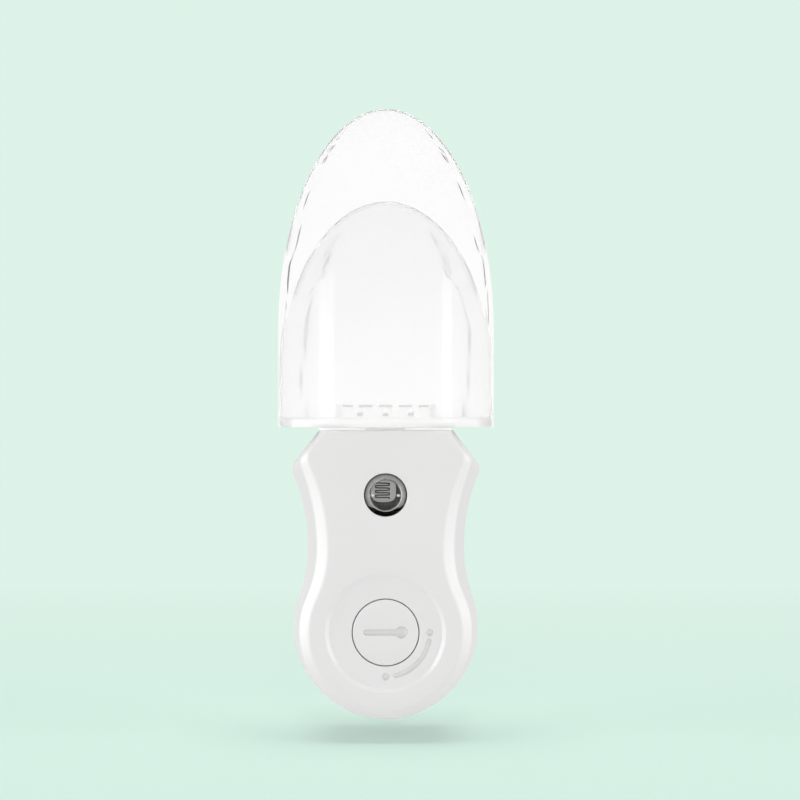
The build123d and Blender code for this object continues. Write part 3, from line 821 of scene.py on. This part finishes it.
wafer = bmesh.new()
wafer_route = [(0.0, well_floor + 0.01 * mm), (0.0, wafer_face - 0.04 * mm), (0.06 * mm, wafer_face)]
pile(wafer, [wafer_ring(inset, depth) for inset, depth in wafer_route])
wafer_grey = moulded_plastic("wafer_grey", (0.50, 0.50, 0.49), 0.35, 0.4, 0.4 * mm)
piece("photocell_wafer", wafer, wafer_grey, *sensor_place)

meander_sizes = {
    "Reach": 1.1 * mm, "Height": 2.7 * mm, "Line": 0.11 * mm, "Center X": -0.5 * mm,
    "Center Z": sensor_z + 0.75 * mm, "Depth": wafer_face,
}
meander_points = 241
meander_passes = 7
meander_flatness = 1.35
meander_dark = moulded_plastic("meander_dark", (0.02, 0.018, 0.016), 0.8, 0.4)
tree, size = group_tree("photocell_meander", meander_sizes)
line = tree.row(None, None, meander_points)
share = tree.node("GeometryNodeInputIndex") * (1 / (meander_points - 1))
half_turns = math.pi * meander_passes
swing = ((share * half_turns).apply("COSINE") * meander_flatness).least(1.0).most(-1.0)
turn_back = (share * (2 * half_turns)).apply("SINE") / (2 * half_turns)
route = tree.spot(
    size["Center X"] + size["Reach"] * swing,
    0 - size["Depth"],
    size["Center Z"] + size["Height"] * (share + turn_back - 0.5),
)
line = tree.node("GeometryNodeSetPosition", inputs={"Geometry": line, "Position": route})
curve = tree.node("GeometryNodeMeshToCurve", inputs={"Mesh": line})
tube = tree.node("GeometryNodeCurvePrimitiveCircle", inputs={"Resolution": 8, "Radius": size["Line"]})
strip = tree.node(
    "GeometryNodeCurveToMesh", inputs={"Curve": curve, "Profile Curve": tube, "Fill Caps": True}
)
data = grow_mesh("photocell_meander", tree, strip, meander_dark, meander_sizes)
settle("photocell_meander", data, None, *sensor_place)

# Two bright tin pads at the ends of the electrodes; they also stand for a glint on the sensor, a
# painted highlight.
pad_sizes = {"Pitch": 4.15 * mm, "Depth": sensor_face - 0.28 * mm, "Height": sensor_z - 0.1 * mm}
pad = bmesh.new()
pad_radius = 0.26 * mm
pad_route = [(pad_radius, -0.05 * mm), (pad_radius, 0.1 * mm)]
pad_route += [(0.2 * mm, 0.2 * mm), (0.08 * mm, 0.25 * mm)]
pad_loops = turned(pad, pad_route, 20)
pad.faces.new(pad_loops[0])
pad_tin_glint = plated("pad_tin_glint", (0.86, 0.86, 0.85), 0.3, 0.6)
stamped("photocell_pads", pad, pad_tin_glint, pad_sizes, 2, *sensor_place)


def clear_cast(name, bending, clearness=1.0):
    """Clear cast or moulded plastic with a faint flow ripple; shadows fall through it."""
    material, tree, shader, where = finish(name)
    ripple = tree.noise(where, 12.0 * mm)
    tree.feed(shader, "Normal", tree.bump(ripple, 0.2, 0.2 * mm))
    tree.feed(shader, "Roughness", 0.03)
    tree.feed(shader, "Transmission Weight", clearness)
    tree.feed(shader, "IOR", bending)
    return material, tree, shader, where


dome = bmesh.new()
dome_radius = lip_radius - 0.12 * mm
dome_height = 0.45 * mm
dome_route = [(dome_radius, sensor_face - 0.05 * mm)]
for a in np.linspace(0.0, math.pi / 2, 10)[:-1]:
    dome_route.append((dome_radius * math.cos(a), sensor_face + dome_height * math.sin(a)))
loops = turned(dome, dome_route, 64, 0.0, sensor_z)
dome.faces.new(loops[0])
cast_resin, tree, shader, _ = clear_cast("cast_resin", 1.27)
tree.feed(shader, "Base Color", (0.98, 0.98, 0.97, 1.0))
dome_piece = piece("photocell_dome", dome, cast_resin, *sensor_place)
dome_piece.visible_shadow = False


# Shade foot: a white plate that closes the shade from below, with a low tray for the lamp board and
# a neck that locks into the housing's top. The tray's front has three small vents and, below its rim,
# a row of five slots.
axis_depth = 13.0 * mm
foot_z = 34.1 * mm
plate_top = 35.7 * mm
plinth_top = 38.0 * mm
tray_floor = 36.1 * mm
foot_columns = 192
shade_sizes = {
    "Half width": 18.4 * mm, "Half depth": 14.85 * mm, "Window half width": 19.3 * mm,
    "Window half depth": 12.2 * mm, "Foot": foot_z, "Spring": 50.7 * mm, "Rise": 37.7 * mm,
    "Wall": 1.6 * mm, "Nose": 16.0 * mm, "Hollow rise": 28.0 * mm, "Axis depth": axis_depth,
}


def oval_ring(inset, z):
    """The shade's plan, moved in by an inset."""
    points = []
    for a in around(foot_columns):
        x = (shade_sizes["Half width"] - inset) * math.cos(a)
        y = (shade_sizes["Half depth"] - inset) * math.sin(a)
        window_x = x / (shade_sizes["Window half width"] - inset)
        window_y = y / (shade_sizes["Window half depth"] - inset)
        share = min(1.0, 1 / math.hypot(window_x, window_y))
        points.append(Vector((x * share, y * share - axis_depth, z)))
    return points


def box_ring(half_x, half_y, z, corner=0.9 * mm):
    """A rounded rectangle about the shade's axis, its points on even rays from the middle."""
    points = []
    for a in around(foot_columns):
        c, s = abs(math.cos(a)), abs(math.sin(a))
        side_x, side_y = half_x - corner, half_y - corner
        if half_x * s <= side_y * c:
            reach = half_x / c
        elif half_y * c <= side_x * s:
            reach = half_y / s
        else:
            along = c * side_x + s * side_y
            reach = along + math.sqrt(along**2 - side_x**2 - side_y**2 + corner**2)
        points.append(Vector((reach * math.cos(a), reach * math.sin(a) - axis_depth, z)))
    return points


foot = bmesh.new()
lock = (7.7 * mm, 5.2 * mm)
lock_low = 30.2 * mm
lock_top = 31.6 * mm
neck = (6.5 * mm, 4.0 * mm)
collar = (11.2 * mm, 10.2 * mm)
body_top = 33.6 * mm
plinth = (7.6 * mm, 5.5 * mm)
tray = (6.6 * mm, 4.5 * mm)
plate_inset = 1.65 * mm
bead = 0.15 * mm
stack = [box_ring(*lock, lock_low), box_ring(*lock, lock_top)]
stack += [box_ring(*neck, lock_top), box_ring(*neck, body_top)]
stack += [box_ring(*collar, body_top + 0.04 * mm), box_ring(*collar, foot_z)]
stack += [oval_ring(plate_inset + bead, foot_z), oval_ring(plate_inset, foot_z + bead)]
stack += [oval_ring(plate_inset, plate_top - bead), oval_ring(plate_inset + bead, plate_top)]
plinth_x, plinth_y = plinth
stack += [box_ring(plinth_x + bead, plinth_y + bead, plate_top), box_ring(*plinth, plate_top + bead)]
stack += [box_ring(*plinth, plinth_top - bead), box_ring(plinth_x - bead, plinth_y - bead, plinth_top)]
stack += [box_ring(*tray, plinth_top, bead), box_ring(*tray, tray_floor, bead)]
pile(foot, stack)
blank = bpy.data.objects.new("foot_blank", closed("foot_blank", foot))
tray_front = axis_depth + plinth_y
vent_sizes = {
    "Depth": 1.0 * mm, "Front": tray_front,
    "Vent pitch": 4.1 * mm, "Vent width": 0.9 * mm, "Vent height": 0.5 * mm, "Vent level": 36.2 * mm,
    "Slot pitch": 3.2 * mm, "Slot width": 2.1 * mm, "Slot height": 0.33 * mm,
    "Slot level": 37.665 * mm,
}
tree, size = group_tree("foot_vents", vent_sizes)
solid = tree.node("GeometryNodeObjectInfo", inputs={"Object": blank}, output="Geometry")
cutting = {"operation": "DIFFERENCE", "solver": "EXACT"}
vented = tree.node("GeometryNodeMeshBoolean", cutting, {0: solid})
for row, count in (("Vent", 3), ("Slot", 5)):
    hole = tree.spot(size[row + " width"], size["Depth"], size[row + " height"])
    cutter = tree.node("GeometryNodeMeshCube", inputs={"Size": hole})
    cutters = in_row(tree, cutter, size[row + " pitch"], size["Front"], size[row + " level"], count)
    cutters = tree.node("GeometryNodeRealizeInstances", inputs={"Geometry": cutters})
    tree.feed(vented.socket.node, 1, cutters)
# Painted shade: the insides of the tray's vents and slots are coloured darker.
hollow_x = 6.9 * mm
tray_shade_box = (
    (-hollow_x, 0.05 * mm - tray_front, plate_top + bead),
    (hollow_x, 0.7 * mm - tray_front, 37.84 * mm),
)
foot_white = moulded_plastic(
    "foot_white", (0.97, 0.97, 0.965), 0.985, 0.4, sunk=tray_shade_box, painted_shade_share=0.72
)
data = grow_mesh("shade_base", tree, vented, foot_white, vent_sizes)
bpy.data.objects.remove(blank)
shade_base = settle("shade_base", data, None, "housing", "foot_white", "shade_foot")
shade_base.visible_shadow = False


# Lamp board and lamps: a small white board in the foot's tray with three flat white-bodied lamps in a
# row, each with a round window of pale phosphor.
mask_white = moulded_plastic("mask_white", (0.86, 0.86, 0.84), 0.97, 0.3)
dress(mask_white, "lamp_board")
lamp_low = 37.0 * mm
lamp_half_x = 1.4 * mm
lamp_half_y = 1.75 * mm
lamp_height = 0.8 * mm
window_radius = 0.95 * mm
window_floor = 0.62 * mm
lamp_sizes = {"Pitch": 4.0 * mm, "Depth": axis_depth, "Height": lamp_low}


def lamp_ring(inset, z):
    points = box_ring(lamp_half_x - inset, lamp_half_y - inset, z, 0.25 * mm)
    return [point + Vector((0.0, axis_depth, 0.0)) for point in points]


def window_ring(radius, z):
    turns = around(foot_columns)
    return [Vector((radius * math.cos(a), radius * math.sin(a), z)) for a in turns]


case = bmesh.new()
stack = [lamp_ring(0.0, 0.0), lamp_ring(0.0, 0.55 * mm), lamp_ring(0.18 * mm, lamp_height)]
stack += [window_ring(window_radius + 0.1 * mm, lamp_height), window_ring(window_radius, window_floor)]
pile(case, stack)
lamps = ("lamp_1", "lamp_2", "lamp_3")
stamped("lamp_cases", case, mask_white, lamp_sizes, 3, "housing", "lamp_board_white", *lamps)

lens = bmesh.new()
lens_radius = window_radius - 0.01 * mm
stack = [window_ring(lens_radius, window_floor + 0.01 * mm), window_ring(lens_radius, 0.7 * mm)]
stack += [window_ring(0.6 * mm, 0.77 * mm)]
pile(lens, stack)
phosphor = moulded_plastic("phosphor", (0.95, 0.88, 0.60), 0.97, 0.25)
stamped("lamp_windows", lens, phosphor, lamp_sizes, 3, "housing", "lamp_phosphor", *lamps)


# Shade: a thick clear acrylic moulding, polished outside. Its plan is an oval cut flatter at the
# front and back, so two arched windows meet the bullet-shaped nose along a crease.
columns = 240
inner_rows = 64
outer_rows = 88
crease_share = 0.4


def bullet_wall(tree, size, turn, height, inset, spring, rise):
    """A point on the shade's wall; height runs from 0 at the foot over the crease to 1 at the top."""
    half_width = size["Half width"] - inset
    half_depth = size["Half depth"] - inset
    wide = half_width * turn.apply("COSINE")
    deep = half_depth * turn.apply("SINE")
    window = (wide / (size["Window half width"] - inset)) ** 2 + (
        deep / (size["Window half depth"] - inset)
    ) ** 2
    limit = (1 / window.apply("SQRT")).least(1.0)
    crease = limit.apply("ARCSINE")
    low = (height / crease_share).least(1.0)
    high = ((height - crease_share) / (1 - crease_share)).most(0.0)
    slant = crease * (1 - high)
    share = slant.apply("SINE")
    crease_z = spring + rise * crease.apply("COSINE")
    dome_z = spring + rise * slant.apply("COSINE")
    skirt_z = size["Foot"] + (crease_z - size["Foot"]) * low
    above = height > crease_share
    z = skirt_z + (dome_z - skirt_z) * above
    return tree.spot(wide * share, deep * share - size["Axis depth"], z)


def bullet_sheet(tree, size, rows, inset, spring, rise):
    """One face of the shade's wall, a grid bent round and closed at the top."""
    sheet = tree.node(
        "GeometryNodeMeshGrid",
        inputs={"Size X": 1.0, "Size Y": 1.0, "Vertices X": columns + 1, "Vertices Y": rows + 1},
    )
    place = tree.node("GeometryNodeInputPosition")
    u = tree.along(place, "X")
    v = tree.along(place, "Y")
    where = bullet_wall(tree, size, (u + 0.5) * (2 * math.pi), v + 0.5, inset, spring, rise)
    return tree.node("GeometryNodeSetPosition", inputs={"Geometry": sheet, "Position": where})


polish = 0.02
moulding_haze = 0.16
low_hollow_shade = 0.15
hollow_height = 34.0 * mm
clear_tint = (0.98, 0.98, 0.98, 1.0)
hollow_shade_tint = (0.875, 0.875, 0.875, 1.0)
shade_acrylic, tree, shader, where = clear_cast("shade_acrylic", 1.13, 0.85)
inside = tree.node("ShaderNodeAttribute", {"attribute_name": "inside"}, output="Fac")
tree.feed(shader, "Roughness", polish + moulding_haze * inside)
# Painted shade: the faces of the hollow are tinted grey, a little near the foot and more towards the
# top.
height = tree.along(where, "Z")
up_hollow = ((height - plinth_top) / hollow_height).least(1.0).most(0.0)
hollow_shade = inside * (low_hollow_shade + (1 - low_hollow_shade) * up_hollow)
tree.feed(shader, "Base Color", tree.blend(hollow_shade, clear_tint, hollow_shade_tint))
tree, size = group_tree("bullet_shade", shade_sizes)
hollow_spring = size["Spring"] + size["Rise"] - size["Nose"] - size["Hollow rise"]
outer_sheet = bullet_sheet(tree, size, outer_rows, 0.0, size["Spring"], size["Rise"])
inner_sheet = bullet_sheet(tree, size, inner_rows, size["Wall"], hollow_spring, size["Hollow rise"])
inner_sheet = tree.node(
    "GeometryNodeStoreNamedAttribute", {"data_type": "FLOAT", "domain": "POINT"},
    {"Geometry": inner_sheet, "Name": "inside", "Value": 1.0},
)
both = tree.node("GeometryNodeJoinGeometry")
for sheet in (inner_sheet, outer_sheet):
    tree.feed(both.socket.node, 0, sheet)
merged = tree.node("GeometryNodeMergeByDistance", inputs={"Geometry": both, "Distance": 1e-6})
data = grow_mesh("bullet_shade", tree, merged, shade_acrylic, shade_sizes)
shell = bmesh.new()
shell.from_mesh(data)
rim_edges = [edge for edge in shell.edges if edge.is_boundary]
bmesh.ops.bridge_loops(shell, edges=rim_edges)
clear_shade = piece("clear_shade", shell, shade_acrylic, "housing", "shade_clear", "shade")
clear_shade.visible_shadow = False


# Studio: a pale sweep, mint to the camera, that curves up behind, soft boxes at both sides, above and
# in front, lamps that show only in gloss, a fill for the shade's foot, dark cards behind the shade and
# a level camera in front, a little to the right of the light.
floor_z = -18.6 * mm
sweep_front = -1.2
sweep_back = 0.5
sweep_radius = 0.35
sweep_half_width = 1.6
sweep_height = 1.4
shadow_front = 0.1
shadow_half_width = 0.12
shadow_fade = 0.3
mint = (0.73, 0.895, 0.81, 1.0)
deep_mint = (0.685, 0.9, 0.8, 1.0)
pale = (1.0, 1.0, 1.0, 1.0)


def glass_rays(tree):
    """1 for a ray that comes through glass or off gloss, which sees the pale surroundings."""
    glossy = tree.node("ShaderNodeLightPath", output="Is Glossy Ray")
    return glossy.most(tree.node("ShaderNodeLightPath", output="Is Transmission Ray"))


backdrop, tree, shader, where = finish("pale_sweep")
seen = tree.node("ShaderNodeLightPath", output="Is Camera Ray")
tree.feed(shader, "Base Color", tree.blend(seen, (0.9, 0.9, 0.9, 1.0), deep_mint))
tree.feed(shader, "Roughness", 0.9)
tree.feed(shader, "Specular IOR Level", 0.1)
back = tree.along(where, "Y")
aside = tree.along(where, "X")
beyond = back.most(-shadow_front - back).most(aside.apply("ABSOLUTE") - shadow_half_width)
distance = (beyond / shadow_fade).least(1.0).most(0.0)
glow = tree.node("ShaderNodeEmission", inputs={"Color": tree.blend(seen, pale, mint)})
camera_glow = 0.12 + 0.88 * distance
other_glow = 0.2 + 0.4 * distance
lit = seen * camera_glow + (1 - seen) * other_glow
matt = Value(tree, shader.outputs[0])
surface = tree.node("ShaderNodeMixShader", inputs={0: lit.most(glass_rays(tree)), 1: matt, 2: glow})
tree.feed(tree.tree.nodes["Material Output"], "Surface", surface)
backdrop.cycles.emission_sampling = "NONE"
profile = [(sweep_front, floor_z), (sweep_back, floor_z)]
for a in np.linspace(0.0, math.pi / 2, 25)[1:]:
    profile.append(
        (sweep_back + sweep_radius * math.sin(a), floor_z + sweep_radius * (1 - math.cos(a)))
    )
profile.append((sweep_back + sweep_radius, sweep_height))
ground = bmesh.new()
rows = [
    [ground.verts.new((side * sweep_half_width, y, z)) for side in (-1, 1)] for y, z in profile
]
for near, far in zip(rows, rows[1:]):
    ground.faces.new((near[0], near[1], far[1], far[0]))


def staged(name, mesh, material):
    """A sheet of the studio, which is no part of the object."""
    data = bpy.data.meshes.new(name)
    mesh.to_mesh(data)
    mesh.free()
    data.shade_smooth()
    data.materials.append(material)
    thing = bpy.data.objects.new(name, data)
    bpy.context.scene.collection.objects.link(thing)
    return thing


sweep = staged("studio_sweep", ground, backdrop)

# The cards are seen only through clear plastic, where they draw broken lines along the shade's sides.
card_black, tree, shader, _ = finish("card_black")
tree.feed(shader, "Base Color", (0.02, 0.02, 0.02, 1.0))
tree.feed(shader, "Roughness", 0.9)
card_reach = 0.4
card_height = 5.0 * mm
card_bearing = 16.5
bearing_spread = 2.0
card_half_turns = (0.3, 0.9)
card_levels = (*np.linspace(-15.0, 30.0, 8), 43.0, *np.linspace(56.0, 114.0, 10))
chance = np.random.default_rng(11)
cards_mesh = bmesh.new()
for side in (-1, 1):
    for level in card_levels:
        bearing = card_bearing + chance.uniform(-bearing_spread, bearing_spread)
        half_turn = chance.uniform(*card_half_turns)
        corners = []
        for end, up in ((-1, 0), (1, 0), (1, 1), (-1, 1)):
            a = math.radians(bearing + half_turn * end)
            x = side * card_reach * math.sin(a)
            y = card_reach * math.cos(a)
            corners.append(cards_mesh.verts.new((x, y, level * mm + card_height * up)))
        cards_mesh.faces.new(corners)
cards = staged("studio_cards", cards_mesh, card_black)
cards.visible_camera = False
cards.visible_diffuse = False
cards.visible_glossy = False
cards.visible_shadow = False

middle = Vector((0.0, -0.013, 0.036))
opaque = bpy.data.collections.new("opaque_pieces")
for thing in bpy.context.scene.objects:
    if thing.type == "MESH" and thing not in (clear_shade, dome_piece, sweep, cards):
        opaque.objects.link(thing)
foot_alone = bpy.data.collections.new("foot_alone")
foot_alone.objects.link(shade_base)


def soft_box(name, place, width, height, power, glossy=False, only=None):
    """A lamp aimed at the middle, for gloss alone or for all but gloss, on all or only some pieces."""
    lamp = bpy.data.lights.new(name, "AREA")
    lamp.shape = "RECTANGLE"
    lamp.size = width
    lamp.size_y = height
    lamp.energy = power
    thing = bpy.data.objects.new(name, lamp)
    thing.location = place
    thing.rotation_euler = (middle - Vector(place)).to_track_quat("-Z", "Y").to_euler()
    bpy.context.scene.collection.objects.link(thing)
    thing.visible_transmission = False
    thing.visible_glossy = glossy
    thing.visible_diffuse = not glossy
    if only is not None:
        thing.light_linking.receiver_collection = only
        thing.light_linking.blocker_collection = only


soft_box("left_box", (-0.57, -0.20, 0.12), 0.5, 0.6, 0.9)
soft_box("right_box", (0.57, -0.20, 0.12), 0.5, 0.6, 0.85)
soft_box("top_box", (0.0, -0.05, 0.75), 0.7, 0.6, 2.6)
soft_box("front_box", (0.0, -0.80, 0.16), 0.5, 0.4, 1.5)
soft_box("left_strip", (-0.41, -0.45, 0.042), 0.14, 0.105, 0.4, glossy=True)
soft_box("right_strip", (0.43, -0.45, 0.042), 0.10, 0.105, 0.3, glossy=True)
soft_box("left_gloss", (-0.60, -0.10, 0.03), 0.7, 0.6, 8.5, glossy=True, only=opaque)
soft_box("right_gloss", (0.60, -0.10, 0.03), 0.7, 0.6, 5.5, glossy=True, only=opaque)
soft_box("top_gloss", (0.0, -0.05, 0.75), 0.7, 0.6, 3.5, glossy=True, only=opaque)
soft_box("foot_fill", (0.0, -0.80, 0.05), 0.4, 0.2, 0.5, only=foot_alone)

air_level = 0.36
air_through_glass = 0.94
world = bpy.data.worlds.new("studio_air")
bpy.context.scene.world = world
world.use_nodes = True
world.cycles.sampling_method = "NONE"
tree = Tree(world.node_tree)
air = world.node_tree.nodes["Background"]
seen = tree.node("ShaderNodeLightPath", output="Is Camera Ray")
tree.feed(air, "Color", tree.blend(seen, pale, mint))
strength = air_level + (air_through_glass - air_level) * glass_rays(tree)
tree.feed(air, "Strength", strength.most(seen))

camera_distance = 390.0 * mm
frame_width = 136.75 * mm
camera_x = 2.4 * mm
camera_z = 38.7 * mm
camera_data = bpy.data.cameras.new("front_camera")
camera_data.sensor_fit = "HORIZONTAL"
camera_data.angle = 2 * math.atan(frame_width / 2 / camera_distance)
camera = bpy.data.objects.new("front_camera", camera_data)
camera.location = (camera_x, -axis_depth - camera_distance, camera_z)
camera.rotation_euler = (math.pi / 2, 0.0, 0.0)
bpy.context.scene.collection.objects.link(camera)
bpy.context.scene.camera = camera
bpy.context.scene.view_settings.view_transform = "Standard"
